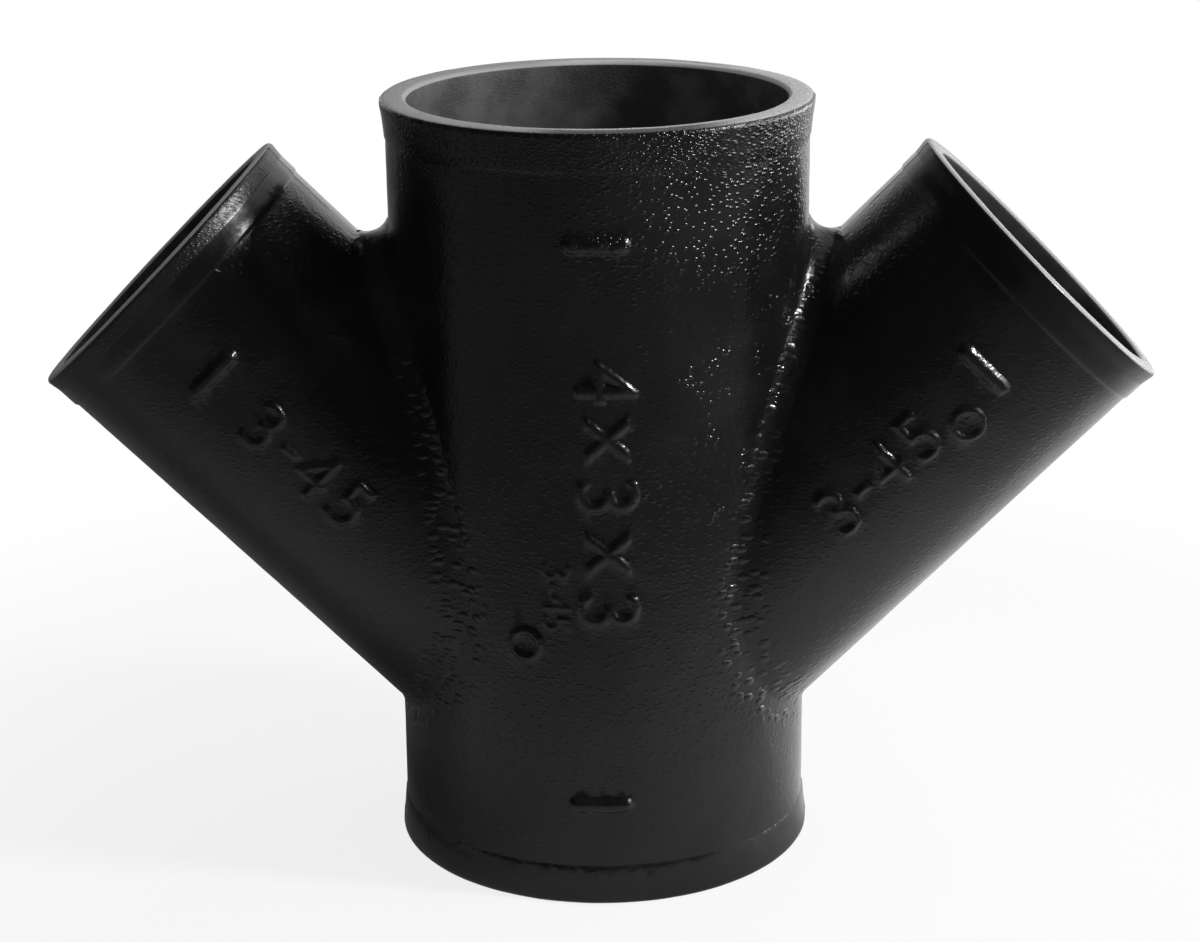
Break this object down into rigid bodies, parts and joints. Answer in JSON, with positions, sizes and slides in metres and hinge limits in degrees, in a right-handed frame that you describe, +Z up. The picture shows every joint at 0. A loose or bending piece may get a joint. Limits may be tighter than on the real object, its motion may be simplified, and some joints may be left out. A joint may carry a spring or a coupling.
{
  "type": "double wye pipe fitting",
  "caption": "Cast iron drain fitting: a straight run with plain beaded ends and smaller branches leaving it at 45 degrees to the left and right.",
  "frame": {"origin": "centre of the run's lower end face, which it stands on", "axes": "+Z up the run, +X towards one branch, -Y the side that the picture shows"},
  "size_m": [0.2962, 0.114, 0.2064],
  "materials": {
    "coated_iron": "black coating, glossy over a fine cast grain"
  },
  "bodies": {
    "root": {"double_wye_casting": "coated_iron"}
  },
  "joints": []
}
